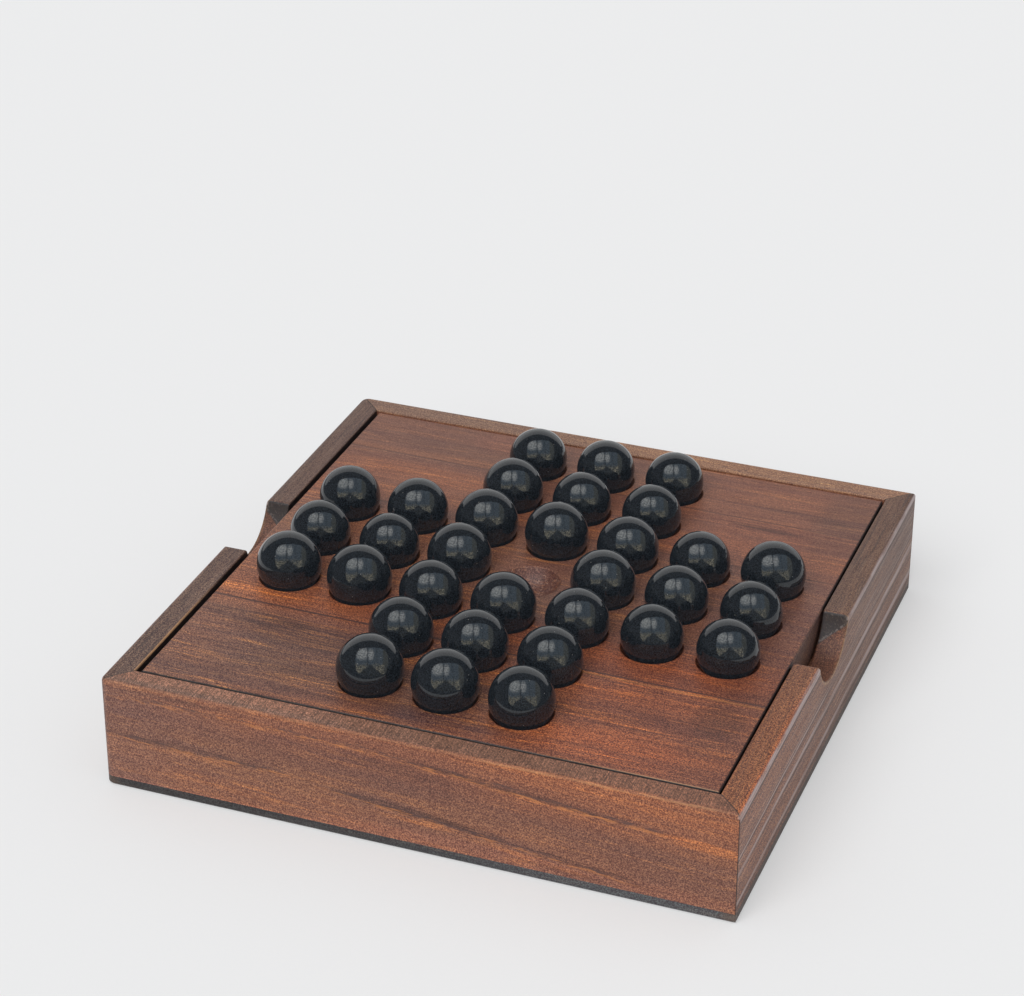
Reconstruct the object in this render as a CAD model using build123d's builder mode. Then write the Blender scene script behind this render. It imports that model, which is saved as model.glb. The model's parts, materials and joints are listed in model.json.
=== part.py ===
from build123d import *
import os

# Marble solitaire box: a mitred wooden case, a lift-out board with dimples in a cross, and black
# glass marbles. Millimetres. The origin is the centre of the case's underside, +X runs along the
# front of the case, +Y goes from the front to the back, and +Z is up.

# Marbles. Glass balls sold as one size differ a little, so the set is sorted into three sizes:
# the large and small ones by the row and column they stand in, and all the others between them.
marble_diameter = 16.6
large_diameter = 17.1
small_diameter = 16.1
large_holes = {(1, 3), (1, 4), (2, 4), (3, 1), (3, 2), (3, 4), (4, 3), (4, 5), (5, 3), (5, 4), (5, 7)}
small_holes = {(3, 6), (3, 7), (4, 1), (4, 2), (4, 7), (5, 6), (6, 4), (6, 5), (7, 3), (7, 4), (7, 5)}

# Dimples that the marbles stand in
hole_pitch = 20.0
holes_per_side = 7  # the cross fits a square grid of this many holes
arm_holes = 3  # width of each arm of the cross, in holes
dimple_depth = 4.6
dimple_slack = 0.85  # how much larger the dimple's radius is than a large marble's
dimple_ease = 0.25  # rounding of a dimple's rim
marble_float = 0.05  # clearance under a marble, so that the two curved faces never cut

# Game board
board_thickness = 10.5
board_margin_x = 15.1  # from the outermost dimple centres to the board's left and right edges
board_margin_y = 15.8  # the same, to the front and back edges
board_ease = 0.35  # chamfer round both faces

# Fit of the board in the case
side_gap = 0.9  # left and right of the board when it lies in the middle
end_gap = 0.8  # in front of and behind it
board_rest_x = 0.2  # the loose board lies this far to the right of the middle of its opening
board_rest_y = 0.3  # and this far behind it
board_recess = 0.4  # from the top of the rails down to the board

# Case
rail_thickness = 6.8
left_corner_radius = 2.4  # outer corners, where two rails meet in a mitre
right_corner_radius = 1.3
rail_ease = 1.2  # rounding of the outer top edges and of the notches' shoulders
rim_ease = 0.4  # rounding of the inner top edges and of the notches' rims
liner_thickness = 4.0  # strips inside the rails, which carry the board
storage_headroom = 0.3  # over the large marbles when they are put away under the board

# Finger notches in the left and right rails
notch_radius = 14.2
notch_lip = 1.0  # from the board's underside up to the notch's floor
notch_centres = {"left": 2.0, "right": -1.0}  # how far behind the middle of its rail each one lies

# Base panel and the pins that hold it to the rails
base_thickness = 2.5
worn_corner_radius = 3.3  # its front right corner; the others follow the rails over them
base_ease = 0.4  # chamfer round the underside
pin_diameter = 1.4
pin_clearance = 0.05  # round each pin and over its end
pin_length = 14.0
pin_sink = 0.3  # how far the pins are set below the underside
pin_end_distance = 28.0  # from the end of a rail to its first pin
pins_per_rail = 3

# Sizes and levels that follow
grid_width = (holes_per_side - 1) * hole_pitch
board_width = grid_width + 2 * board_margin_x
board_depth = grid_width + 2 * board_margin_y
opening_width = board_width + 2 * side_gap
opening_depth = board_depth + 2 * end_gap
case_width = opening_width + 2 * rail_thickness
case_depth = opening_depth + 2 * rail_thickness
board_underside = base_thickness + large_diameter + storage_headroom
board_top = board_underside + board_thickness
rail_top = board_top + board_recess
rail_height = rail_top - base_thickness
liner_height = board_underside - base_thickness
notch_floor = board_underside + notch_lip
dimple_radius = large_diameter / 2 + dimple_slack
dimple_bottom = board_top - dimple_depth

# Each side of the case: the direction that its rail runs in, the rail's length over the mitres,
# and how far its outer face lies from the centre of the case.
SIDES = {
    "front": ((1, 0, 0), case_width, case_depth / 2),
    "right": ((0, 1, 0), case_depth, case_width / 2),
    "back": ((-1, 0, 0), case_width, case_depth / 2),
    "left": ((0, -1, 0), case_depth, case_width / 2),
}


def side_plane(side, level):
    """A level plane whose x runs along that side, with the side's outer face towards negative y."""
    direction = SIDES[side][0]
    return Plane(origin=(0, 0, level), x_dir=direction, z_dir=(0, 0, 1))


def depth_in(side, edge):
    """How far the middle of an edge lies inside that side's outer face."""
    return SIDES[side][2] + side_plane(side, 0).to_local_coords(edge.center()).Y


def pin_spots(side):
    """Centres of that side's pins, on its side_plane."""
    length, reach = SIDES[side][1:]
    span = length - 2 * pin_end_distance
    step = span / (pins_per_rail - 1)
    row = -reach + rail_thickness / 2
    return [(-span / 2 + step * n, row) for n in range(pins_per_rail)]


def cross_holes():
    """Row, column and centre of every hole of the cross, counted from the front left."""
    middle = (holes_per_side - 1) / 2
    half_arm = (arm_holes - 1) / 2
    holes = []
    for row in range(holes_per_side):
        for column in range(holes_per_side):
            along, across = column - middle, row - middle
            if min(abs(along), abs(across)) <= half_arm:
                x = board_rest_x + along * hole_pitch
                y = board_rest_y + across * hole_pitch
                holes.append((row + 1, column + 1, x, y))
    return holes


def build_rail(side):
    """One mitred rail of the case. The left and right ones have a finger notch."""
    length, reach = SIDES[side][1:]
    half = length / 2
    with BuildPart() as rail:
        # The plan of the whole case, cut down to what lies between this rail's two mitres
        with BuildSketch(Plane.XY.offset(base_thickness)) as plan:
            Rectangle(case_width, case_depth)
            corners = plan.vertices().group_by(Axis.X)
            fillet(corners[0], left_corner_radius)
            fillet(corners[-1], right_corner_radius)
        extrude(amount=rail_height)
        with BuildSketch(side_plane(side, base_thickness)):
            with BuildLine():
                Polyline(
                    (-half, -reach),
                    (half, -reach),
                    (half - rail_thickness, -reach + rail_thickness),
                    (-half + rail_thickness, -reach + rail_thickness),
                    close=True,
                )
            make_face()
        extrude(amount=rail_height, mode=Mode.INTERSECT)

        if side in notch_centres:
            across = Plane(
                origin=(0, notch_centres[side], notch_floor + notch_radius),
                x_dir=SIDES[side][0],
                z_dir=side_plane(side, 0).y_dir,
            )
            with BuildSketch(across):
                Circle(notch_radius)
            extrude(amount=-case_width, mode=Mode.SUBTRACT)

        # The outer top edges and the notch's shoulders are rounded
        flats = rail.faces().filter_by(GeomType.PLANE)
        mitres = flats.filter_by(lambda face: abs(face.normal_at().X * face.normal_at().Y) > 0.1)
        top = rail.edges().group_by(Axis.Z)[-1] - mitres.edges()
        fillet(top.filter_by(lambda edge: depth_in(side, edge) < 0.75 * rail_thickness), rail_ease)

        # The inner top edges and the notch's two rims are only eased
        inside = rail.edges().group_by(Axis.Z)[-1]
        inside = inside.filter_by(lambda edge: depth_in(side, edge) > rail_thickness - rim_ease)
        arcs = rail.edges().filter_by(GeomType.CIRCLE)
        rims = arcs.filter_by(lambda edge: abs(edge.radius - notch_radius) < rim_ease)
        fillet(inside + rims, rim_ease)

        with BuildSketch(side_plane(side, 0)):
            with Locations(*pin_spots(side)):
                Circle(pin_diameter / 2 + pin_clearance)
        extrude(amount=pin_sink + pin_length + pin_clearance, mode=Mode.SUBTRACT)
    return rail


def build_liner(side):
    """One strip inside the case. The front and back ones run the whole width of the opening."""
    full = side in ("front", "back")
    length = opening_width if full else opening_depth - 2 * liner_thickness
    reach = SIDES[side][2] - rail_thickness
    with BuildPart() as liner:
        with BuildSketch(side_plane(side, base_thickness)):
            with Locations((0, -reach + liner_thickness / 2)):
                Rectangle(length, liner_thickness)
        extrude(amount=liner_height)
    return liner


def build_marble(row, column, x, y):
    """One marble, standing in its dimple."""
    diameter = marble_diameter
    if (row, column) in large_holes:
        diameter = large_diameter
    if (row, column) in small_holes:
        diameter = small_diameter
    with BuildPart() as marble:
        with Locations((x, y, dimple_bottom + marble_float + diameter / 2)):
            Sphere(diameter / 2)
    return marble


# Base panel
with BuildPart() as base_panel:
    with BuildSketch() as outline:
        Rectangle(case_width, case_depth)
        corners = outline.vertices().group_by(Axis.X)
        front_right, back_right = corners[-1].sort_by(Axis.Y)
        fillet(corners[0], left_corner_radius)
        fillet(front_right, worn_corner_radius)
        fillet(back_right, right_corner_radius)
    extrude(amount=base_thickness)
    chamfer(base_panel.faces().sort_by(Axis.Z)[0].outer_wire().edges(), base_ease)
    for side in SIDES:
        with BuildSketch(side_plane(side, 0)):
            with Locations(*pin_spots(side)):
                Circle(pin_diameter / 2 + pin_clearance)
        extrude(amount=base_thickness, mode=Mode.SUBTRACT)

# Pins through the base panel into the rails
with BuildPart() as base_pins:
    for side in SIDES:
        with BuildSketch(side_plane(side, pin_sink)):
            with Locations(*pin_spots(side)):
                Circle(pin_diameter / 2)
        extrude(amount=pin_length)

# Game board
with BuildPart() as game_board:
    with BuildSketch(Plane.XY.offset(board_underside)):
        with Locations((board_rest_x, board_rest_y)):
            Rectangle(board_width, board_depth)
    extrude(amount=board_thickness)
    faces_up_and_down = game_board.faces().filter_by(Axis.Z)
    chamfer(faces_up_and_down.edges(), board_ease)
    with Locations(*[(x, y, dimple_bottom + dimple_radius) for _, _, x, y in cross_holes()]):
        Sphere(dimple_radius, mode=Mode.SUBTRACT)
    fillet(game_board.edges().filter_by(GeomType.CIRCLE), dimple_ease)

pieces = {
    "base_panel": base_panel,
    "base_pins": base_pins,
    "game_board": game_board,
}
for side in SIDES:
    pieces[f"{side}_rail"] = build_rail(side)
    pieces[f"{side}_liner"] = build_liner(side)
middle = (holes_per_side + 1) // 2
for row, column, x, y in cross_holes():
    if (row, column) != (middle, middle):  # the game starts with the middle dimple empty
        pieces[f"marble_row{row}_col{column}"] = build_marble(row, column, x, y)

os.makedirs("parts", exist_ok=True)
for name, piece in pieces.items():
    piece.part.label = name
    export_step(piece.part, f"parts/{name}.step")
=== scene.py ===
# %% [markdown]
# # A marble solitaire box
# A flat square box of dark stained wood, with a lift-out board that carries thirty-two black glass
# marbles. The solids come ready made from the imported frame, and this lesson gives them their wood, glass
# and steel, then sets up the paper, the light and the camera.

# %% Load the frame into an empty file
import bpy
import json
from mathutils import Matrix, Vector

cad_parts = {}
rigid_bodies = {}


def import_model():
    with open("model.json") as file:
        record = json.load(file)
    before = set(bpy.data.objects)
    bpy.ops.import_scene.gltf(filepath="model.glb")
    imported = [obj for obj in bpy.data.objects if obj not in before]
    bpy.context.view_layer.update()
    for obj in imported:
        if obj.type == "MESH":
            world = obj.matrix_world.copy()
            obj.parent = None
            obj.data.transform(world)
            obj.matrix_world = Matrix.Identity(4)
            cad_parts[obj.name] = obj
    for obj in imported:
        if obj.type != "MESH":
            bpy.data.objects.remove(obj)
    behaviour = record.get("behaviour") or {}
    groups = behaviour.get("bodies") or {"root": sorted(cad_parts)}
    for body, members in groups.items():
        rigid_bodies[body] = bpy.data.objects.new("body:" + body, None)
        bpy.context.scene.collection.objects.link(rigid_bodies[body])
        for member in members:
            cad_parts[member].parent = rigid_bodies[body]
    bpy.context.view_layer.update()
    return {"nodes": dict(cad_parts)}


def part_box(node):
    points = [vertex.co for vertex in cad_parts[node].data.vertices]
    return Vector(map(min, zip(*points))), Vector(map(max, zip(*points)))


for left_over in list(bpy.data.objects):
    bpy.data.objects.remove(left_over)
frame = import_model()

# %% [markdown]
# A few levels of the box are read from its pieces, in millimetres, because every finish below is placed by
# them.

# %% Measure the box
import json
import math

from mathutils import Matrix, Vector

to_mm = 1000.0


def levels(node):
    """The lowest and highest corner of a piece, in millimetres."""
    low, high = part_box(node)
    return low * to_mm, high * to_mm


board_low, board_high = levels("game_board")
board_top = board_high.z
half_width, half_depth, rail_top = levels("right_rail")[1]
print("case", round(2 * half_width, 1), "by", round(2 * half_depth, 1), "mm,",
      round(rail_top, 1), "mm to the top of its rails")
print("board", [round(side, 1) for side in board_high - board_low], "mm")

# %% [markdown]
# The camera stands a little to the right of the front and looks down on the box with a long lens, so that
# the sides hardly converge. Its place follows from the point that it looks at, two angles and a distance,
# which is easier to adjust than a place and a rotation.

# %% Camera
look_at = Vector((-0.03042, 0.06772, 0.0150))
camera_distance = 0.85023
camera_azimuth, camera_elevation, camera_roll = (math.radians(a) for a in (20.615, 28.578, 0.159))

backward = Vector((math.sin(camera_azimuth) * math.cos(camera_elevation),
                   -math.cos(camera_azimuth) * math.cos(camera_elevation),
                   math.sin(camera_elevation)))
camera_data = bpy.data.cameras.new("camera")
camera_data.sensor_width = 36.0
camera_data.lens = 104.449
camera_data.clip_start, camera_data.clip_end = 0.01, 30.0
camera = bpy.data.objects.new("camera", camera_data)
bpy.context.scene.collection.objects.link(camera)
turn = (Matrix.Rotation(camera_azimuth, 3, "Z")
        @ Matrix.Rotation(math.pi / 2 - camera_elevation, 3, "X")
        @ Matrix.Rotation(camera_roll, 3, "Z"))
camera.rotation_euler = turn.to_euler()
camera.location = look_at + backward * camera_distance
bpy.context.scene.camera = camera
print("camera at", [round(c, 3) for c in camera.location])

# %% [markdown]
# A material is a flow of values through nodes. Wiring hundreds of nodes by hand is hard to read, so two
# small helpers do it: a Recipe makes any node from its type, settings and sockets, and a Value wraps a
# node's output so that sums on it add Math nodes.

# %% Node helpers
CHANNEL = {"x": 0, "y": 1, "z": 2}


class Value:
    """A node's output. Sums on it add Math nodes; .x, .y and .z split a vector."""

    def __init__(self, recipe, socket):
        self.recipe, self.socket = recipe, socket

    def math(self, operation, first, second=None):
        return self.recipe.node("Math", {"operation": operation}, {0: first, 1: second})

    def __add__(self, other): return self.math("ADD", self, other)
    def __radd__(self, other): return self.math("ADD", other, self)
    def __sub__(self, other): return self.math("SUBTRACT", self, other)
    def __rsub__(self, other): return self.math("SUBTRACT", other, self)
    def __mul__(self, other): return self.math("MULTIPLY", self, other)
    def __rmul__(self, other): return self.math("MULTIPLY", other, self)
    def __truediv__(self, other): return self.math("DIVIDE", self, other)
    def __pow__(self, other): return self.math("POWER", self, other)
    def __abs__(self): return self.math("ABSOLUTE", self)

    def __getattr__(self, name):
        if name not in CHANNEL:
            raise AttributeError(name)
        return self.recipe.node("SeparateXYZ", {}, {0: self}, CHANNEL[name])


class Recipe:
    """The nodes of one material, or of the world."""

    def __init__(self, owner):
        owner.use_nodes = True
        self.tree = owner.node_tree
        self.tree.nodes.clear()

    def node(self, kind, settings=None, sockets=None, out=0):
        """Makes a node: its type, then its settings, then the values or links of its sockets."""
        made = self.tree.nodes.new("ShaderNode" + kind)
        for name, value in (settings or {}).items():
            setattr(made, name, value)
        for name, value in (sockets or {}).items():
            if isinstance(value, Value):
                self.tree.links.new(value.socket, made.inputs[name])
            elif value is not None:
                made.inputs[name].default_value = value
        return Value(self, made.outputs[out]) if made.outputs else None

    def vector(self, operation, first, second=None, third=None, out=0):
        return self.node("VectorMath", {"operation": operation}, {0: first, 1: second, 2: third}, out)

    def join(self, x, y, z):
        return self.node("CombineXYZ", {}, {0: x, 1: y, 2: z})

    def larger(self, first, second):
        return self.node("Math", {"operation": "MAXIMUM"}, {0: first, 1: second})

    def ease(self, value, start, end, low=0.0, high=1.0):
        """Goes smoothly from low to high while value goes from start to end."""
        return self.node("MapRange", {"interpolation_type": "SMOOTHSTEP"},
                         {"Value": value, "From Min": start, "From Max": end, "To Min": low, "To Max": high})

    def where(self, *ramps):
        """1 where every ramp is past its end. A ramp is a value, where it starts and where it ends."""
        return math.prod(self.ease(*ramp) for ramp in ramps)

    def blend(self, share, under, over, mode="MIX"):
        """Colour: under where share is 0, over where it is 1."""
        under, over = ((*c, 1.0) if isinstance(c, tuple) else c for c in (under, over))
        return self.node("Mix", {"data_type": "RGBA", "blend_type": mode}, {0: share, 6: under, 7: over}, 2)

    def tint(self, colour, share, tone):
        """Multiplies a colour by a tone where share is 1."""
        return self.blend(share, colour, tone, "MULTIPLY")

    def shade(self, colour, amount):
        """Makes a colour lighter or darker by a factor that varies."""
        return self.node("VectorMath", {"operation": "SCALE"}, {0: colour, "Scale": amount})


print("node helpers ready")

# %% [markdown]
# The box stands on a wide sheet of pale paper. It is one plane, so large that its edge is far outside any
# view. The paper keeps the soft shadow of the box, but part of what the camera sees is the plain paper
# colour, which holds the shadow as faint as it is under large windows. In reflections the sheet ends
# around the box, and the darker room begins there.

# %% Paper
PALE = (0.830, 0.834, 0.835)        # as the camera sees it
PAPER_LIT = (0.834, 0.836, 0.838)   # the sheet itself
paper_half_size = 5.0
paper_level = -0.0001               # just under the box, so that the two flat faces never fight
plain_share = 0.34


def make_paper():
    """The sheet under the box, with a fine tooth."""
    mesh = bpy.data.meshes.new("paper")
    corners = [(x * paper_half_size, y * paper_half_size, paper_level)
               for x, y in ((-1, -1), (1, -1), (1, 1), (-1, 1))]
    mesh.from_pydata(corners, [], [(0, 1, 2, 3)])
    sheet = bpy.data.objects.new("paper", mesh)
    bpy.context.scene.collection.objects.link(sheet)
    material = bpy.data.materials.new("pale_paper")
    recipe = Recipe(material)
    place = recipe.node("TexCoord", out="Object")
    seen = recipe.node("LightPath", out="Is Camera Ray")
    mirrored = recipe.node("LightPath", out="Is Glossy Ray")
    tooth = recipe.node("TexNoise", {}, {"Vector": place, "Scale": 900.0, "Detail": 3.0})
    on_sheet = recipe.where((abs(place.x), 0.36, 0.35), (place.y, -0.30, -0.29), (place.y, 0.62, 0.60))
    colour = recipe.shade(PAPER_LIT, tooth * 0.02 + 0.99)
    colour = recipe.blend(mirrored * (1 - on_sheet), colour, (0.16, 0.17, 0.18))
    matt = recipe.node("BsdfDiffuse", {}, {"Color": colour})
    plain = recipe.node("Emission", {}, {"Color": (*PALE, 1.0), "Strength": 1.0})
    mixed = recipe.node("MixShader", {}, {0: seen * plain_share, 1: matt, 2: plain})
    recipe.node("OutputMaterial", {}, {"Surface": mixed})
    mesh.materials.append(material)


make_paper()
print("paper", 2 * paper_half_size, "m wide")

# %% [markdown]
# The light is daylight in a room: a large window somewhat above and beside the camera, and soft light from
# everywhere else. A wide sun lamp gives the window's direction and soft shadows, and the world gives the
# rest. The lamp is kept out of reflections, because a round lamp in the glass would look nothing like a
# window.

# %% Window light
sun_data = bpy.data.lights.new("window_light", "SUN")
sun_data.energy = 2.0
sun_data.angle = math.radians(52)
sun = bpy.data.objects.new("window_light", sun_data)
bpy.context.scene.collection.objects.link(sun)
sun_azimuth, sun_elevation = math.radians(-4), math.radians(46)
toward_sun = Vector((math.sin(sun_azimuth) * math.cos(sun_elevation),
                     -math.cos(sun_azimuth) * math.cos(sun_elevation),
                     math.sin(sun_elevation)))
sun.rotation_euler = toward_sun.to_track_quat("Z", "Y").to_euler()
sun.visible_glossy = False
print("window light", sun_data.energy, "W/m2 over", round(math.degrees(sun_data.angle)), "degrees")

# %% [markdown]
# Black glass shows its surroundings like a mirror, so the world also holds a painted room that only
# reflections see. An image of a real room could be wrapped round the scene instead, but a painted one needs
# no file and shows just what matters: the window with its panes, sky, roof and trees, and the pale sheet
# that rises behind the box. The room is painted on an equal-area map round the window wall, where u runs
# to the right and w upwards. First comes the view through the window.

# %% The view through the window
def paint_view(recipe, u, w, cloud):
    """Clouds on the left, blue sky on the right, a curtain, and a roof and trees below."""
    left_cloud = recipe.ease(((u + 0.21) * (u + 0.21) + (w - 0.40) * (w - 0.40) * 1.3) ** 0.5, 0.26, 0.10)
    right_cloud = recipe.ease(((u - 0.04) * (u - 0.04) * 3.0 + (w - 0.38) * (w - 0.38)) ** 0.5, 0.22, 0.06)
    clouds = recipe.larger(left_cloud, right_cloud)
    clouds = clouds * recipe.ease(cloud(30.0, 5.0, 3.1), 0.44, 0.56, 0.20, 1.05)
    sky = recipe.blend(recipe.ease(cloud(36.0, 3.0, 6.2), 0.40, 0.60), (0.40, 0.60, 0.80), (0.95, 1.08, 1.20))
    sky = recipe.blend(clouds, sky, (4.6, 4.7, 4.6))
    curtain = recipe.ease(u, 0.36, 0.42)
    sky = recipe.blend(curtain * 0.85, sky, (0.62, 0.62, 0.52))

    gleam = recipe.ease(cloud(64.0, 2.0, 5.3), 0.57, 0.61) * recipe.ease(u, 0.46, 0.40)
    trees = recipe.blend(gleam, (0.52, 0.54, 0.50), (8.0, 7.2, 5.2))
    tree_line = recipe.ease(w + (cloud(9.0, 3.0, 1.9) - 0.5) * 0.30, 0.15, 0.02)
    view = recipe.blend(tree_line, sky, trees)
    roof = recipe.ease(w + abs(u - 0.02) * 0.85 + (cloud(24.0, 2.0, 9.1) - 0.5) * 0.10, 0.14, 0.08)
    view = recipe.blend(roof * 0.9, view, (0.16, 0.19, 0.22))

    bars = recipe.ease(abs(u + 0.045 + (w - 0.2) * 0.03), 0.016, 0.006)
    bars = bars + recipe.ease(abs(u - 0.25 + w * 0.10), 0.016, 0.006) * 0.5
    return recipe.blend(bars * 0.85, view, (0.22, 0.24, 0.27))


print("window view ready")

# %% [markdown]
# Then comes the room round the window. Each kind of ray sees its own part of the world: matt surfaces
# only soft light, which keeps their colours even, glossy ones the painted room, and the camera the plain
# pale colour of the paper, so that the backdrop has no horizon.

# %% The room that reflections see
window_wall = Vector((0.3152, -0.8203, 0.4771)).normalized()
wall_right = Vector((0.9335, 0.3587, 0.0)).normalized()
wall_up = window_wall.cross(wall_right)
if wall_up.z < 0:
    wall_up = -wall_up
ambient = 0.50


def make_room():
    """Soft light for matt surfaces, the painted room for glossy ones, the paper's colour for the camera."""
    world = bpy.data.worlds.new("room")
    bpy.context.scene.world = world
    world.cycles.sampling_method = "NONE"
    recipe = Recipe(world)
    direction = recipe.node("TexCoord", out="Generated")
    half_way = recipe.vector("NORMALIZE", recipe.vector("ADD", direction, tuple(window_wall)))
    u = recipe.vector("DOT_PRODUCT", half_way, tuple(wall_right), out="Value")
    w = recipe.vector("DOT_PRODUCT", half_way, tuple(wall_up), out="Value")
    spot = recipe.join(u, w, 0.0)

    def cloud(scale, detail=3.0, shift=0.0):
        return recipe.node("TexNoise", {}, {"Vector": recipe.vector("ADD", spot, (shift, shift, 0.0)),
                                            "Scale": scale, "Detail": detail, "Roughness": 0.6})

    outline = abs((u - 0.07) / 0.475) ** 3.0 + abs((w - 0.17) / 0.415) ** 3.0
    window = recipe.ease(outline + (cloud(11.0) - 0.5) * 0.35, 1.08, 0.90)
    dim = recipe.ease(cloud(3.0, 2.0, 4.4), 0.35, 0.65)
    room = recipe.blend(dim, (0.09, 0.10, 0.115), (0.17, 0.18, 0.195))
    room = recipe.blend(window, room, paint_view(recipe, u, w, cloud))
    rim = (u * u + w * w) ** 0.5
    behind = recipe.where((rim - abs(u) ** 3.0 * 0.15, 0.775, 0.785), (w - u * 0.03, 0.34, 0.36))
    room = recipe.blend(behind, room, PALE)

    # what each kind of ray sees
    soft = recipe.shade((ambient, ambient * 1.005, ambient * 1.02), direction.z * 0.15 + 1.0)
    mirrored = recipe.node("LightPath", out="Is Glossy Ray")
    seen = recipe.node("LightPath", out="Is Camera Ray")
    through = recipe.node("LightPath", out="Is Transmission Ray")
    colour = recipe.blend(mirrored, soft, room)
    colour = recipe.blend(recipe.larger(seen, through), colour, PALE)
    background = recipe.node("Background", {}, {"Color": colour, "Strength": 1.0})
    recipe.node("OutputWorld", {}, {"Surface": background})
    return world


world = make_room()
print("world with", len(world.node_tree.nodes), "nodes")

# %% [markdown]
# The wood is a stained hardwood with a satin lacquer. Stained wood is not one brown: broad bands of tone
# run with the grain, thin dark streaks lie between them, short fibres catch the light in orange flecks,
# and open pores stay dark. All of it is noise in solid space, drawn out along the grain, so that the
# pattern runs round every edge as it does in a real block and shows end grain on the sawn ends.

# %% Wood grain
def fibres(recipe, place, length, width, detail=2.0, seed=0.0):
    """Noise in strokes about length by width, in millimetres, with the grain along x."""
    spot = recipe.vector("MULTIPLY_ADD", place, (1 / length, 1 / width, 1 / width),
                         (seed, seed * 1.7, seed * 2.3))
    return recipe.node("TexNoise", {}, {"Vector": spot, "Scale": 1.0, "Detail": detail, "Roughness": 0.58})


def grain(recipe, place, tones, threads, streaks=0.35, grit=1.0):
    """Colour, height and gloss of the wood at a place, with its grain along x."""
    wander = fibres(recipe, place, 70, 16, 2.0, 3.0) - 0.5
    bent = recipe.vector("ADD", place, recipe.join(0.0, wander * 7.0, wander * 5.0))
    band = recipe.ease(fibres(recipe, bent, 150, 7.5, 3.0, 7.0), 0.34, 0.66)
    thread = fibres(recipe, bent, 24, 0.75, 3.0, 11.0)
    streak = recipe.ease(fibres(recipe, bent, 55, 1.7, 3.0, 17.0), 0.58, 0.74)
    glow = recipe.ease(fibres(recipe, bent, 40, 4.0, 3.0, 23.0), 0.40, 0.62)
    turned = recipe.node("VectorRotate", {"rotation_type": "AXIS_ANGLE"},
                         {"Vector": place, "Axis": (0.50, 0.62, 0.60), "Angle": 0.9})
    dots = fibres(recipe, turned, 0.36, 0.36, 1.0, 31.0)
    pore = recipe.ease(fibres(recipe, place, 3.5, 0.36, 1.5, 37.0), 0.58, 0.70)

    colour = recipe.blend(band, tones["deep"], tones["mid"])
    lit = recipe.ease(thread, 0.48, 0.70) * (glow * 0.8 + 0.2)
    colour = recipe.blend(lit * threads, colour, tones["bright"])
    colour = recipe.blend(recipe.ease(thread, 0.50, 0.30) * 0.4 * threads, colour, tones["dark"])
    colour = recipe.blend(streak * streaks, colour, tones["dark"])
    colour = recipe.blend(pore * 0.28, colour, tones["dark"])
    swing = recipe.ease(dots, 0.26, 0.94, -0.72, 2.10) * grit
    colour = recipe.vector("MULTIPLY", colour,
                           recipe.join(swing * 0.92 + 0.97, swing * 1.16 + 0.97, swing + 0.97))
    height = thread * 0.5 + dots * 0.6 - pore * 0.5 - streak * 0.1
    gloss = recipe.ease(thread, 0.3, 0.7, 0.56, 0.46) + pore * 0.15
    return colour, height, gloss


WALNUT = {"mid": (0.250, 0.096, 0.052), "deep": (0.195, 0.080, 0.052),
          "bright": (0.560, 0.205, 0.064), "dark": (0.068, 0.037, 0.036)}
print("wood tones", ", ".join(WALNUT))

# %% [markdown]
# Every finish starts and ends alike. Places on a piece are taken in millimetres from its own origin, so
# the grain moves with the piece when the board or a marble is lifted. At the end, the lacquer turns the
# grain's height into a slight relief and its gloss into roughness. Marks that belong to one spot of one
# face, such as a dark streak, are soft ellipses: they could be modelled or drawn on an image, but as
# numbers beside the grain they can be moved in a moment.

# %% Finish helpers
lacquer_relief = 0.00006     # metres, the height of the grain under the lacquer


def new_finish(name):
    """An empty material, its recipe, and the place on the piece in millimetres."""
    material = bpy.data.materials.new(name)
    recipe = Recipe(material)
    return material, recipe, recipe.shade(recipe.node("TexCoord", out="Object"), to_mm)


def spots(recipe, along, across, rows):
    """The sum of soft spots on a face, each 1 at its centre and 0 outside. A row gives a spot's centre and
    its reach, both along and across the grain, and then its tilt and its strength where it needs them."""
    def spot(centre_along, centre_across, reach_along, reach_across, tilt=0.0, strength=1.0):
        far = (along - centre_along) / reach_along
        off = (across - centre_across - (along - centre_along) * tilt) / reach_across
        return recipe.ease(far * far + off * off, 1.0, 0.15) * strength

    return sum((spot(*row) for row in rows), 0.0)


def on_top(recipe, z):
    """1 on the top of a rail, 0 on its sides."""
    return recipe.ease(z, rail_top - 0.7, rail_top - 0.2)


def finish_wood(recipe, colour, height, gloss):
    """Lacquered wood: the colour, with the height as relief and the gloss as roughness."""
    relief = recipe.node("Bump", {}, {"Strength": 0.55, "Distance": lacquer_relief, "Height": height}, "Normal")
    shader = recipe.node("BsdfPrincipled", {}, {"Base Color": colour, "Roughness": gloss, "Normal": relief})
    recipe.node("OutputMaterial", {}, {"Surface": shader})


def dress(material, *nodes):
    """Puts a material on pieces of the frame."""
    for name in nodes:
        frame["nodes"][name].material_slots[0].material = material


print("finish helpers ready")

# %% [markdown]
# The board is glued up from staves, narrow strips of different trees side by side, which keeps a thin
# panel flat. The strips are planed flush, so the board is one solid and their tones are painted on it:
# first slow changes of tone over whole staves, then soft spots, and last thin orange and dark streaks,
# which a noise of ragged fibres breaks up so that they follow the grain.

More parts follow.
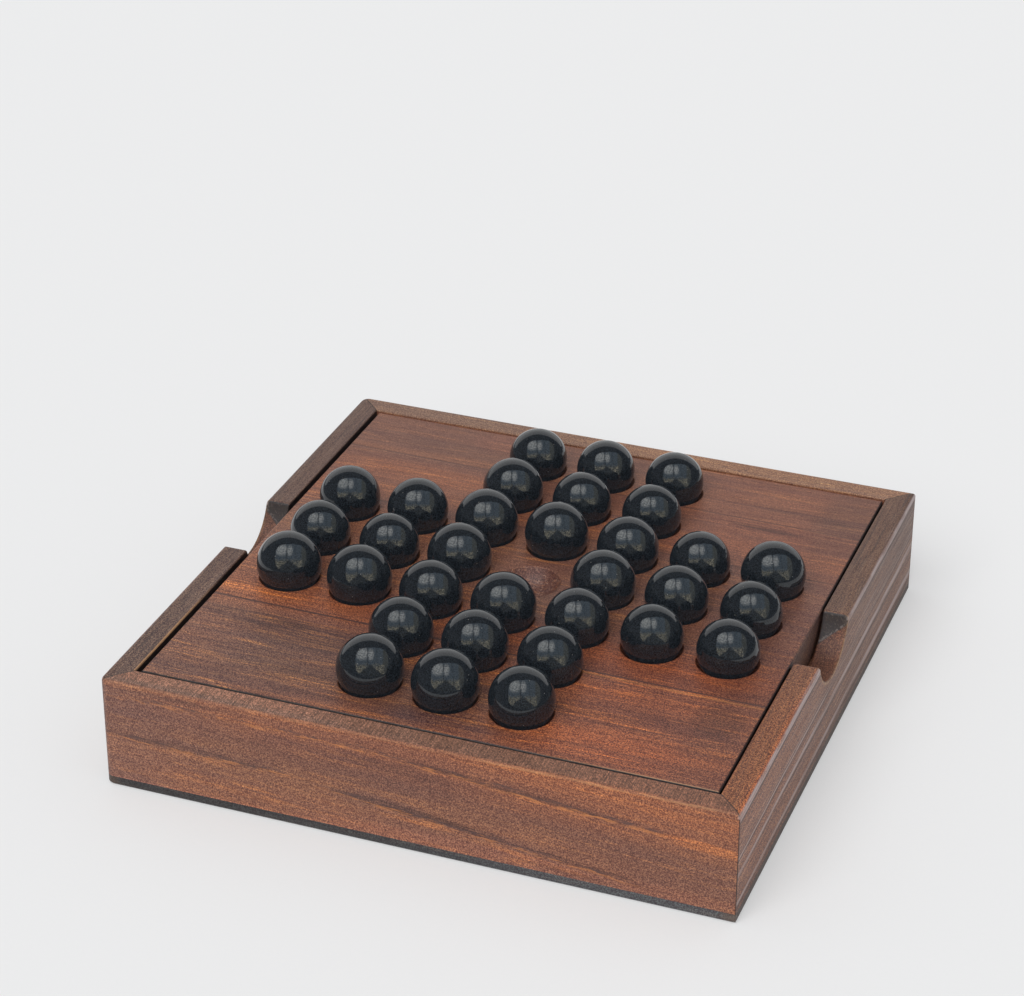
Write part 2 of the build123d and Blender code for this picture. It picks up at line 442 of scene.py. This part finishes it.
# %% Board tones
def board_tones(recipe, own, x, y, colour):
    """The tone of each stave and its streaks. Also returns the ragged fibres that break the streaks."""
    for ramps, tone in ((((y, -5, -28), (x, -85, -25)), (0.80, 0.69, 0.66)),
                        (((y, -37, -40), (x, -25, -55)), (0.86, 0.92, 1.00)),
                        (((y, -37, -35), (y, 0, -24)), (0.96, 0.89, 0.86)),
                        (((y, 15, 30), (y, 56, 50)), (1.04, 0.96, 0.91)),
                        (((y, 25, 50),), (0.83, 0.87, 0.94)),
                        (((x, 0, 40),), (0.98, 0.92, 0.94)),
                        (((x, 58, 66),), (0.874, 0.928, 0.973))):
        colour = recipe.tint(colour, recipe.where(*ramps), tone)

    for rows, tone in ((((-18, -58, 52, 22), (45, 5, 62, 34, 0, 0.6)), (0.78, 0.92, 1.05)),
                       (((66, 0, 26, 22),), (0.92, 0.86, 0.88)),
                       (((20, 0, 60, 30),), (0.83, 0.86, 0.90)),
                       (((8, 7, 24, 12),), (0.90, 0.86, 0.90)),
                       (((50, -68, 40, 10),), (1.12, 1.08, 1.03)),
                       (((-36, -44, 18, 9),), (0.86, 0.87, 0.94)),
                       (((42, -50, 18, 12),), (0.92, 0.90, 0.92)),
                       (((-68, -64, 24, 14),), (0.90, 0.92, 0.98)),
                       (((-24, -71, 16, 5),), (1.12, 1.08, 1.04)),
                       (((-70, 7, 9, 16), (-20, 20, 14, 9), (28, 44, 12, 9, 0, 0.8)), (0.86, 0.93, 1.00)),
                       (((-32, 70, 13, 7),), (1.12, 1.06, 1.05)),
                       (((4, -70, 18, 7),), (0.84, 0.88, 1.05))):
        colour = recipe.tint(colour, spots(recipe, x, y, rows), tone)

    ragged = recipe.ease(fibres(recipe, own, 18, 0.9, 3.0, 43.0), 0.35, 0.60, 0.35, 1.0)
    orange = ((46, -43, 34, 5, 0, 0.4), (58, -37.5, 26, 2.5, -0.014, 0.8), (42, -66, 44, 9, 0, 0.6),
              (50, -26, 40, 9, 0, 0.5), (-56, -27, 30, 9, 0, 0.6), (-46, 45, 34, 8, 0, 0.5),
              (0, -47, 30, 6, 0, 0.5))
    murk = ((50, 49.2, 13, 1.6, -0.05, 1.0), (-44, 62, 26, 5, 0, 0.3), (-58, -42, 20, 5, 0, 0.6),
            (66, -47, 9, 9, 0, 0.8), (-30, -62, 30, 4, -0.05, 0.4), (30, -54, 24, 2.5, 0, 0.5),
            (-20, -71, 30, 1.8, -0.04, 0.2), (56, 60, 22, 2.5, -0.1, 0.4), (2, -69, 28, 5, -0.03, 0.45),
            (-42, -46, 26, 8, 0, 0.6), (-66, -70, 20, 5, 0, 0.3), (72, 62, 16, 12, 0, 0.35))
    colour = recipe.tint(colour, spots(recipe, x, y, orange) * ragged, (1.60, 1.38, 0.98))
    colour = recipe.tint(colour, spots(recipe, x, y, murk) * ragged, (0.50, 0.52, 0.58))
    return colour, ragged


print("board tones ready")

# %% [markdown]
# The glue joints are fine dark lines, and the dimples are darker than the face, because stain collects in
# their turned end grain. The board's sides are sawn and greyish. Next to the rails they are painted black
# as shade, since hardly any light reaches into gaps under a millimetre wide, except at the notches, where
# the gap is open. The board's front face is painted black as the same shade, and its front arris gets a
# painted highlight at the right.

# %% Board joints, dimples and sides
def board_joints(recipe, x, joints, ragged, colour, height):
    """Dark lines, sunk a little, and a bright line of torn fibres in front of the first one."""
    front_joint = joints[0][0]
    torn = recipe.ease(abs(front_joint + 1.20), 0.60, 0.15) * recipe.ease(x, -5, 25) * ragged
    colour = recipe.blend(torn * 0.40, colour, (0.60, 0.26, 0.075))
    for joint, depth in joints:
        line = recipe.ease(abs(joint), 0.50, 0.15) * depth
        colour = recipe.blend(line, colour, (0.045, 0.024, 0.022))
        height = height - line * 0.8
    return colour, height


def board_dimples(recipe, place, colour, gloss):
    """Dark, smoother end grain with small light pits."""
    x, y, z = place.x, place.y, place.z
    turned = recipe.where((z, board_top - 0.02, board_top - 0.4), (abs(x), 71, 70), (abs(y), 71, 70))
    colour = recipe.tint(colour, turned, (0.68, 0.66, 0.74))
    pit = recipe.ease(fibres(recipe, place, 0.8, 0.8, 2.0, 97.0), 0.56, 0.68)
    colour = recipe.blend(pit * turned * 0.5, colour, (0.42, 0.26, 0.19))
    return colour, gloss - turned * 0.10


def board_sides(recipe, place, colour):
    """Greyish sides, painted shade in the gaps, and a painted highlight on the front arris at the right."""
    x, y, z = place.x, place.y, place.z
    middle, half = (board_low + board_high) / 2, (board_high - board_low) / 2
    off_x, off_y = abs(x - middle.x), abs(y - middle.y)
    side = recipe.larger(recipe.ease(off_x, half.x - 0.4, half.x - 0.1),
                         recipe.ease(off_y, half.y - 0.4, half.y - 0.1))
    colour = recipe.tint(colour, side, (0.62, 0.78, 0.88))
    notched = recipe.where((abs(x), 73.0, 74.0), (off_y, 15.0, 13.0))
    # painted shade: the sides turn black where they face a rail across a narrow gap
    gap_shade = side * (1 - notched) * recipe.ease(z, board_top - 3.5, board_top - 1.5)
    colour = recipe.blend(gap_shade * 0.9, colour, (0.010, 0.009, 0.011))
    # painted shade: the board's front face, seen down the front gap, is painted black
    arris = recipe.where((y, board_low.y + 0.3, board_low.y), (z, board_top - 0.02, board_top - 0.08))
    colour = recipe.blend(arris * 0.85, colour, (0.016, 0.012, 0.012))
    # painted highlight: a pale line on the front arris, towards the right
    paler_edge = recipe.where((z, board_top - 0.20, board_top - 0.12), (y, board_low.y + 0.4, board_low.y + 0.2),
                        (x, 20, 60))
    return recipe.blend(paler_edge * 0.8, colour, (0.50, 0.28, 0.15))


print("board joints, dimples and sides ready")

# %% [markdown]
# Now the board's finish is put together. Each stave needs grain of its own, and one pattern is enough for
# that: at each joint the place in the grain jumps, as if the next strip came from another tree. Far from
# the eye the fine grain blurs, so it is made calmer towards the back.

# %% Board
def make_board_wood():
    material, recipe, place = new_finish("board_wood")
    x, y, z = place.x, place.y, place.z
    joints = [(y + 35.4 + x * 0.014, 0.85), (y - 27.0, 0.45), (y - 53.8 + x * 0.018, 0.50)]   # line, depth
    jumps = [recipe.ease(line, -0.02, 0.02) for line, depth in joints]
    own = recipe.join(x + jumps[0] * 190 + jumps[1] * 270 + jumps[2] * 130,
                      y + jumps[0] * 41 + jumps[1] * 33, z + jumps[1] * 17 + jumps[2] * 23)
    calm = recipe.ease(y, -70, 70, 1.0, 0.45)
    colour, height, gloss = grain(recipe, own, WALNUT, threads=calm * 0.95, grit=calm)
    colour, ragged = board_tones(recipe, own, x, y, colour)
    colour, height = board_joints(recipe, x, joints, ragged, colour, height)
    colour, gloss = board_dimples(recipe, place, colour, gloss)
    colour = board_sides(recipe, place, colour)
    finish_wood(recipe, colour, height, gloss)
    return material


dress(make_board_wood(), "game_board")
print("board wood on the board")

# %% [markdown]
# The frame is four rails with mitred corners. The grain of each runs with its length, and the mitres show
# as fine dark lines where stain gathered. The outer arrises, the rounded top edges, get a pale painted
# highlight.
# All four rails share these marks, and then each gets its own.

# %% Marks on all rails
def rail_marks(recipe, place, colour, height):
    """Dark mitres, and a pale painted highlight on the outer arrises."""
    x, y, z = place.x, place.y, place.z
    mitre = recipe.ease(abs(half_width - abs(x) - half_depth + abs(y)), 0.34, 0.10)
    colour = recipe.blend(mitre * 0.85, colour, (0.022, 0.014, 0.012))
    # painted highlight: a pale line along the outer top edges, broken by a noise
    arris_highlight = recipe.where((z, rail_top - 1.5, rail_top - 1.0), (z, rail_top - 0.2, rail_top - 0.7),
                          (abs(x), half_width - 0.8, half_width - 0.2))
    uneven = fibres(recipe, place, 9, 9, 3.0, 51.0)
    colour = recipe.blend(arris_highlight * recipe.ease(uneven, 0.35, 0.6, 0.35, 0.8), colour, (0.46, 0.38, 0.37))
    return colour, height - mitre * 0.7


print("rail marks ready")

# %% [markdown]
# The front rail has the liveliest face. Its grain slopes down to the right, with dark and orange streaks,
# and some of them are fine double lines, where a dark growth ring lies on a bright one. The lines follow
# the slope but waver and fray, or they would look ruled.

# %% Front rail, face
def front_face(recipe, place, sloped, colour):
    """Tones, streaks and double lines. Also returns the ragged fibres that break the streaks."""
    x, y, z = place.x, place.y, place.z
    front = recipe.ease(y, -half_depth + 2.5, -half_depth + 1.0)
    ragged = recipe.ease(fibres(recipe, sloped, 20, 0.5, 3.0, 43.0), 0.40, 0.58, 0.12, 1.0)
    colour = recipe.vector("MULTIPLY", colour, (0.86, 0.85, 0.84))
    for ramps, tone in ((((x, -40, -82),), (0.98, 1.05, 1.18)),
                        (((z, 3.2, 2.6), (x, 10, -40)), (1.35, 1.30, 1.34)),
                        (((z, 17, 9),), (0.99, 1.01, 1.05))):
        colour = recipe.tint(colour, front * recipe.where(*ramps), tone)

    for rows, tone in ((((-20, 16, 70, 9, 0, 0.6),), (0.88, 0.96, 1.02)),
                       (((28, 3.5, 66, 4),), (1.30, 1.22, 1.16)),
                       (((24, 26, 100, 13),), (1.02, 0.93, 0.88)),
                       (((-76, 19, 18, 6, 0, 0.8), (-6, 20, 26, 5, 0, 0.6)), (0.83, 0.86, 0.95)),
                       (((-24, 24, 20, 3, -0.03), (-50, 16, 22, 3, 0, 0.8), (-8, 12, 16, 3, -0.05),
                         (24, 8, 20, 3, -0.08)), (0.81, 0.85, 0.99))):
        colour = recipe.tint(colour, front * spots(recipe, x, z, rows), tone)

    orange = ((26, 22.8, 28, 0.7, -0.075, 0.6), (75, 19.6, 16, 1.9, -0.09, 0.9),
              (10, 8.1, 26, 1.6, -0.10, 0.7), (34, 5.3, 15, 1.0, -0.12, 0.6), (-58, 27.5, 28, 0.9, -0.01, 0.6),
              (-56, 13.4, 20, 0.8, -0.01, 0.45), (-40, 6, 46, 4.5, 0, 0.25), (52, 28, 50, 5, -0.05, 0.30))
    murk = ((-4, 23.2, 20, 2.8, -0.05, 0.35), (30, 23.7, 42, 1.3, -0.075, 0.85),
            (-10, 27, 22, 0.8, -0.03, 0.2), (-58, 15.2, 28, 1.2, -0.018, 0.75),
            (8, 10.6, 36, 1.6, -0.085, 0.95), (46, 6.3, 24, 1.4, -0.10, 0.8), (40, 4, 18, 0.9, -0.06, 0.6),
            (62, 12, 36, 7, -0.02, 0.16), (-62, 29, 22, 0.6, 0, 0.5))
    colour = recipe.tint(colour, spots(recipe, x, z, orange) * front * ragged, (1.90, 1.66, 1.05))
    colour = recipe.tint(colour, spots(recipe, x, z, murk) * front * ragged, (0.42, 0.42, 0.50))

    bend = ((fibres(recipe, place, 22, 22, 2.0, 47.0) - 0.5) * 1.6
            + (fibres(recipe, sloped, 4, 0.7, 2.0, 53.0) - 0.5) * 2.4)
    frayed = recipe.ease(fibres(recipe, sloped, 5, 0.40, 3.0, 49.0), 0.44, 0.60, 0.05, 1.2) * front
    for level, slope, middle, reach in ((26.2, -0.076, 22, 48), (26.9, -0.007, -45, 44),
                                        (14.5, -0.014, -56, 34), (11.2, -0.100, 18, 48),
                                        (24.9, -0.052, 42, 26)):
        rise = z - level - x * slope + bend
        here = recipe.ease(abs(x - middle), reach, reach * 0.6) * frayed
        colour = recipe.blend(here * recipe.ease(abs(rise), 0.60, 0.10) * 0.65, colour, (0.075, 0.040, 0.036))
        colour = recipe.blend(here * recipe.ease(abs(rise + 0.85), 0.60, 0.10) * 0.46, colour,
                              (0.54, 0.20, 0.058))
    return colour, ragged


print("front face ready")

# %% [markdown]
# The top of the front rail is cut so that the wood's rays lie across it. They show as short ticks at right
# angles to the grain, which no stretched grain noise gives, so the ticks are a noise of their own, drawn
# out the other way over a fine grit.

# %% Front rail
def front_top(recipe, place, ragged, colour):
    """Ray fleck on the top, and a painted highlight along its front edge, broken by ragged fibres."""
    x, z, from_front = place.x, place.z, place.y + half_depth
    tick = fibres(recipe, recipe.join(place.y, x, z), 7.0, 0.34, 1.0, 61.0)
    grit = fibres(recipe, recipe.join(x + place.y * 0.5, place.y - x * 0.3, z), 0.32, 0.50, 1.0, 63.0)
    fleck = recipe.ease(tick, 0.28, 0.72, 0.55, 1.42) * recipe.ease(grit, 0.22, 0.94, 0.20, 2.60)
    tone = recipe.blend(recipe.ease(x, -60, 20), (0.190, 0.103, 0.071), (0.172, 0.083, 0.052))
    tone = recipe.tint(tone, recipe.ease(x, 25, 55), (1.12, 1.0, 0.92))
    tone = recipe.tint(tone, recipe.where((x, 0, -40), (from_front, 1.5, 4.0)), (1.34, 1.16, 1.04))
    # painted highlight: a thin orange line along the front top edge, stronger to the right
    front_edge_highlight = recipe.where((z, rail_top - 0.75, rail_top - 0.45), (z, rail_top - 0.1, rail_top - 0.25),
                        (from_front, 1.3, 0.9)) * ragged
    colour = recipe.blend(front_edge_highlight * recipe.ease(x, -70, 60, 0.15, 0.50), colour, (0.40, 0.20, 0.09))
    flecked = on_top(recipe, z) * recipe.ease(from_front, 0.5, 1.0)
    return recipe.blend(flecked * 0.85, colour, recipe.shade(tone, fleck))


def make_front_wood():
    material, recipe, place = new_finish("front_rail_wood")
    sloped = recipe.join(place.x, place.y, place.z + place.x * 0.06)
    colour, height, gloss = grain(recipe, sloped, WALNUT, threads=0.34, streaks=0.10, grit=0.78)
    colour, ragged = front_face(recipe, place, sloped, colour)
    colour = front_top(recipe, place, ragged, colour)
    colour, height = rail_marks(recipe, place, colour, height)
    finish_wood(recipe, colour, height, gloss)
    return material


dress(make_front_wood(), "front_rail")
print("front rail wood")

# %% [markdown]
# The back rail is plain, and its top carries a little painted sheen that makes it paler and greyer. At the
# right its saw cut went through a bend of the growth rings, which gives pointed arches, called a cathedral.
# Rings of a parabola make them.

# %% Back rail
def make_back_wood():
    material, recipe, place = new_finish("back_rail_wood")
    x, y, z = place.x, place.y, place.z
    top = on_top(recipe, z)
    own = recipe.join(x + 333.0, y + 55.0, z - x * 0.04)
    colour, height, gloss = grain(recipe, own, WALNUT, threads=0.35, grit=0.6)
    # painted sheen: the top is made paler and greyer, more so to the right
    sheen_tint = recipe.blend(recipe.ease(x, -30, 25), (0.82, 1.20, 1.42), (1.15, 1.52, 1.58))
    colour = recipe.tint(colour, top * 0.8, sheen_tint)
    arch = (x - 30.0) / 9.0 + (y - 79.0) * (y - 79.0) * 1.1 + fibres(recipe, place, 20, 4, 2.0, 71.0) * 2.0
    rings = recipe.ease(recipe.node("Math", {"operation": "PINGPONG"}, {0: abs(arch), 1: 0.5}), 0.12, 0.0)
    figured = recipe.where((x, 18.0, 34.0), (x, 80.0, 66.0)) * top
    colour = recipe.blend(rings * figured * 0.7, colour, WALNUT["dark"])
    colour, height = rail_marks(recipe, place, colour, height)
    finish_wood(recipe, colour, height, gloss)
    return material


dress(make_back_wood(), "back_rail")
print("back rail wood")

# %% [markdown]
# The side rails are a coarser wood. On their top, long open pores run with the grain. Their outer faces
# were planed across hard and soft growth rings, and the hard ones stand proud and catch the light. Real
# ridges would be only hundredths of a millimetre high, so each is a line of painted highlight with a
# painted shadow under it, and a little relief.

# %% Side rails, top and outer face
SIDE_TONES = {"mid": (0.175, 0.078, 0.046), "deep": (0.130, 0.060, 0.038),
              "bright": (0.380, 0.190, 0.110), "dark": (0.046, 0.029, 0.026)}
# the pale colour of the painted highlights on the side rails' outer faces
PALE_HIGHLIGHT = (0.47, 0.38, 0.37)


def side_top(recipe, place, own, colour):
    """Open pores, painted shade in the gaps beside the board, and a painted highlight on the near left inner
    arris.
    """
    x, y, z = place.x, place.y, place.z
    left, right = recipe.ease(x, 0.0, -10.0), recipe.ease(x, 0.0, 10.0)
    top = on_top(recipe, z)
    pores = recipe.ease(fibres(recipe, own, 18, 0.32, 2.0, 81.0), 0.52, 0.64)
    colour = recipe.blend(pores * top * 0.55, colour, SIDE_TONES["dark"])
    colour = recipe.tint(colour, top * right * recipe.ease(y, 20, -50), (1.38, 1.03, 0.73))
    colour = recipe.tint(colour, top * right * recipe.ease(y, 0.0, 20.0), (0.84, 0.92, 0.98))
    colour = recipe.tint(colour, top * left, (0.68, 0.80, 0.98))
    # painted shade: the inner face next to the board is painted black below the top
    gap_shade = recipe.where((abs(x), half_width - 6.5, half_width - 6.7), (z, rail_top - 4.0, rail_top - 2.0),
                       (z, rail_top - 0.3, rail_top - 0.5))
    colour = recipe.blend(gap_shade * 0.9, colour, (0.012, 0.012, 0.015))
    # painted highlight: an orange line on the inner arris at the near left, broken at the pores
    inner = left * recipe.where((x, 6.2 - half_width, 6.5 - half_width), (z, rail_top - 0.5, rail_top - 0.3),
                                (y, -25, -60))
    return recipe.blend(inner * recipe.ease(pores, 1.0, 0.0, 0.1, 0.65), colour, (0.50, 0.27, 0.12))


def side_face(recipe, place, own, waver, colour, height):
    """Painted highlights on ridges and on fine hairs, a painted shadow under each ridge; the left face is
    plainer.
    """
    x, y, z = place.x, place.y, place.z
    outer = recipe.ease(abs(x), half_width - 1.4, half_width - 0.3)
    for ramps, tone in ((((y, 30, -70),), (1.38, 1.16, 1.04)),
                        (((z, 4.6, 3.8),), (0.78, 0.76, 0.78)),
                        (((y, 10, 60), (z, 13, 10)), (1.14, 1.10, 1.06)),
                        (((abs(z - 26.6), 2.6, 1.0),), (0.86, 0.86, 0.85)),
                        (((z, 2.9, 2.4), (y, -10, 50)), (1.25, 1.30, 1.38))):
        colour = recipe.tint(colour, outer * recipe.where(*ramps), tone)

    # painted highlight: fine pale hairs along the grain
    hair = recipe.ease(fibres(recipe, own, 60, 0.32, 2.0, 89.0), 0.56, 0.68) * outer
    hair = hair * recipe.ease(x, -10, 10, 0.3, 1.0) * recipe.ease(z, 6, 12, 0.15, 0.42)
    colour = recipe.blend(hair, colour, PALE_HIGHLIGHT)
    strong = recipe.ease(x, -10, 10, 0.35, 1.0)
    wide = recipe.ease(y, -80, 80, 0.75, 1.35) * 1.05
    fade = recipe.ease(y, -10, 10, 1.0, 0.35)
    for level, slope, breadth, strength in ((29.2, 0.002, 0.48, recipe.ease(y, -70, 20, 1.25, 1.0)),
                                            (18.4, 0.002, 0.45, fade), (19.6, 0.003, 0.24, fade * 0.5),
                                            (14.0, 0.008, wide, 1.0), (5.7, 0.006, wide, 1.0)):
        rise = z - level - y * slope + waver * 0.9
        broken = recipe.ease(fibres(recipe, own, 30, 3, 2.0, level), 0.30, 0.60, 0.35, 1.0)
        broken = broken * outer * strong * strength
        # painted highlight on each ridge, and a painted shadow under it
        pale = recipe.ease(abs(rise), breadth, breadth * 0.3) * broken
        shadow = recipe.ease(abs(rise + breadth + 0.35), 0.60, 0.1) * broken
        colour = recipe.blend(pale * 0.68, colour, PALE_HIGHLIGHT)
        colour = recipe.blend(shadow * 0.7, colour, SIDE_TONES["dark"])
        height = height + pale * 0.8 - shadow * 0.6
    return colour, height


print("side rail tops and faces ready")

# %% [markdown]
# The finger notches were scooped out with a drum sander. Their whole scoop is darker, the drum left the far
# flank nearly black with slanting scratches, and it tore fibres off the rim. Their marks are placed by the
# distance from the drum's axis.

# %% Side rails
notch_radius, notch_axis = 14.2, 35.1     # mm; the axis is above the rails
left_notch, right_notch = 2.0, -1.0       # mm, how far behind the middle of its rail each one lies


def notch_marks(recipe, place, own, waver, colour, height):
    """Dark floor and flank, the chipped edge between them, and the torn rim."""
    x, y, z = place.x, place.y, place.z
    inward = half_width - abs(x)
    behind = y - recipe.ease(x, -1.0, 1.0, left_notch, right_notch)
    from_axis = recipe.vector("LENGTH", recipe.join(behind, z - notch_axis, 0.0), out="Value")
    scoop = recipe.ease(from_axis, notch_radius + 0.35, notch_radius + 0.15)
    stroke = recipe.ease(fibres(recipe, place, 5.0, 0.45, 2.0, 91.0), 0.42, 0.62)
    colour = recipe.tint(colour, scoop * 0.8, (0.55, 0.40, 0.36))
    colour = recipe.tint(colour, scoop * stroke * 0.5, (0.50, 0.46, 0.46))

    flank = recipe.ease(behind, 2.0, 4.0) * scoop
    slant = z - 28.4 + inward * 0.74
    scratch = fibres(recipe, recipe.join(z - x * 0.6, x + z * 0.6, y), 4.0, 0.40, 2.0, 99.0)
    burnt = recipe.blend(recipe.ease(scratch, 0.56, 0.68), (0.018, 0.016, 0.017), (0.062, 0.050, 0.045))
    colour = recipe.blend(recipe.ease(slant, -0.2, 0.3) * flank * 0.9, colour, burnt)
    crumbs = recipe.ease(fibres(recipe, place, 0.7, 0.7, 2.0, 95.0), 0.45, 0.6)
    chipped = recipe.ease(abs(slant - 0.5), 0.45, 0.1) * flank * crumbs
    colour = recipe.blend(chipped * 0.7, colour, (0.15, 0.125, 0.115))

    rim = recipe.where((abs(from_axis - (notch_radius + 0.35) - waver * 0.5), 0.45, 0.1), (inward, 1.2, 0.3))
    torn = recipe.ease(fibres(recipe, own, 2.5, 1.2, 2.0, 93.0), 0.42, 0.56)
    colour = recipe.blend(rim * (torn * 0.5 + 0.3), colour, (0.40, 0.24, 0.12))
    return colour, height - rim * torn * 1.2


def make_side_wood():
    material, recipe, place = new_finish("side_rail_wood")
    own = recipe.join(place.y, place.x, place.z + place.y * 0.006)     # the grain runs along y
    near = recipe.ease(place.y, -70, 60, 1.2, 0.6)
    colour, height, gloss = grain(recipe, own, SIDE_TONES, threads=0.30, streaks=0.25, grit=near)
    waver = fibres(recipe, own, 40, 40, 2.0, 87.0) - 0.5
    colour = side_top(recipe, place, own, colour)
    colour, height = side_face(recipe, place, own, waver, colour, height)
    colour, height = notch_marks(recipe, place, own, waver, colour, height)
    colour, height = rail_marks(recipe, place, colour, height)
    finish_wood(recipe, colour, height, gloss)
    return material


dress(make_side_wood(), "left_rail", "right_rail")
print("side rail wood on two rails")

# %% [markdown]
# Inside, four plain liners make the well and carry the board. They are the same wood, stained in one
# coat and left without the streaky finish of the show faces, so the grain is there but quieter.

# %% Liners
LINER_TONES = {"mid": (0.110, 0.048, 0.029), "deep": (0.080, 0.036, 0.023),
               "bright": (0.220, 0.095, 0.048), "dark": (0.035, 0.019, 0.015)}


def make_liner_wood(name, along_y):
    material, recipe, place = new_finish(name)
    own = recipe.join(place.y, place.x, place.z) if along_y else place
    colour, height, gloss = grain(recipe, own, LINER_TONES, threads=0.35, streaks=0.3)
    finish_wood(recipe, colour, height, gloss + 0.12)
    return material


dress(make_liner_wood("liner_wood_x", False), "front_liner", "back_liner")
dress(make_liner_wood("liner_wood_y", True), "left_liner", "right_liner")
print("liner wood on four liners")

# %% [markdown]
# The bottom is a thin panel stained nearly black, fixed with small steel pins. Its edge shows as a dark
# band below the rails. The stain is thinner to the right, and it is worn brown where the corners are
# rounded and along the right edge.

# %% Base panel
BASE_TONES = {"mid": (0.044, 0.040, 0.041), "deep": (0.032, 0.030, 0.032),
              "bright": (0.100, 0.070, 0.055), "dark": (0.015, 0.014, 0.015)}


def make_base_wood():
    material, recipe, place = new_finish("base_wood")
    x, y = place.x, place.y
    colour, height, gloss = grain(recipe, place, BASE_TONES, threads=0.30, streaks=0.3, grit=0.7)
    colour = recipe.tint(colour, recipe.ease(x, -20, -60), (0.80, 0.78, 0.78))
    colour = recipe.tint(colour, recipe.ease(x, -20, 50), (1.85, 1.95, 2.00))
    to_corner = half_width + half_depth - abs(x) - abs(y)
    paler_edge = recipe.larger(recipe.ease(to_corner, 5.0, 2.0), recipe.ease(x, half_width - 1.0, half_width - 0.2))
    colour = recipe.blend(paler_edge * 0.5, colour, (0.10, 0.062, 0.042))
    finish_wood(recipe, colour, height, gloss + 0.08)
    return material


dress(make_base_wood(), "base_panel")
print("base wood on the base panel")

# %% [markdown]
# The pins are bright drawn steel, dulled in patches by handling. A metal has no colour under its
# reflections, so its scuffs change the colour of the reflections and their roughness.

# %% Pins
def make_pin_steel():
    material, recipe, place = new_finish("pin_steel")
    scuff = recipe.node("TexNoise", {}, {"Vector": place, "Scale": 3.0, "Detail": 4.0})
    colour = recipe.blend(recipe.ease(scuff, 0.4, 0.7), (0.52, 0.51, 0.49), (0.34, 0.30, 0.27))
    relief = recipe.node("Bump", {}, {"Strength": 0.3, "Distance": 0.00003, "Height": scuff}, "Normal")
    shader = recipe.node("BsdfPrincipled", {}, {"Base Color": colour, "Metallic": 1.0, "Normal": relief,
                                                 "Roughness": recipe.ease(scuff, 0.3, 0.7, 0.25, 0.45)})
    recipe.node("OutputMaterial", {}, {"Surface": shader})
    return material


dress(make_pin_steel(), "base_pins")
print("steel on the pins")

# %% [markdown]
# The marbles are solid black glass, so almost all that one sees is their reflections. A plain black mirror
# would look like a drawing: real glass has smudges from fingers, which soften the reflection here and
# there, a thin film, and a few specks of dust that catch the light. The light that the film scatters is a
# painted glow, a faint emission from the glass itself.

# %% Marbles
def make_black_glass():
    material, recipe, place = new_finish("black_glass")
    smudge = recipe.node("TexNoise", {}, {"Vector": place, "Scale": 0.16, "Detail": 4.0})
    smudge = recipe.ease(smudge, 0.50, 0.72)
    cells = {"Vector": place, "Scale": 0.55}
    distance = recipe.node("TexVoronoi", {"feature": "F1"}, cells, "Distance")
    chance = recipe.node("TexVoronoi", {"feature": "F1"}, cells, "Color")
    dust = recipe.ease(distance, 0.085, 0.045) * recipe.ease(chance.x, 0.62, 0.66)
    film_and_glow = recipe.node("TexNoise", {}, {"Vector": place, "Scale": 3.2, "Detail": 2.0})

    colour = recipe.blend(smudge * 0.5, (0.0045, 0.0055, 0.0070), (0.0075, 0.0085, 0.0100))
    colour = recipe.blend(dust * 0.6, colour, (0.22, 0.21, 0.19))
    # painted glow: a faint emission, patchy with the film, standing in for light the film scatters
    painted_glow = recipe.shade((0.0070, 0.0088, 0.0110), recipe.ease(film_and_glow, 0.25, 0.85, -0.1, 2.5))
    gloss = recipe.ease(smudge, 0.0, 1.0, 0.012, 0.035) + dust * 0.3
    relief = recipe.node("Bump", {}, {"Strength": 0.6, "Distance": 0.000005, "Height": film_and_glow}, "Normal")
    shader = recipe.node("BsdfPrincipled", {}, {"Base Color": colour, "Roughness": gloss, "IOR": 1.5,
                                                 "Emission Color": painted_glow, "Emission Strength": 1.0,
                                                 "Normal": relief})
    recipe.node("OutputMaterial", {}, {"Surface": shader})
    return material


marbles = sorted(name for name in frame["nodes"] if name.startswith("marble_"))
dress(make_black_glass(), *marbles)
print(len(marbles), "glass marbles")

# %% [markdown]
# The render uses the plain display transform, so that the colours come out as they are written.

# %% Finish
bpy.context.scene.view_settings.view_transform = "Standard"
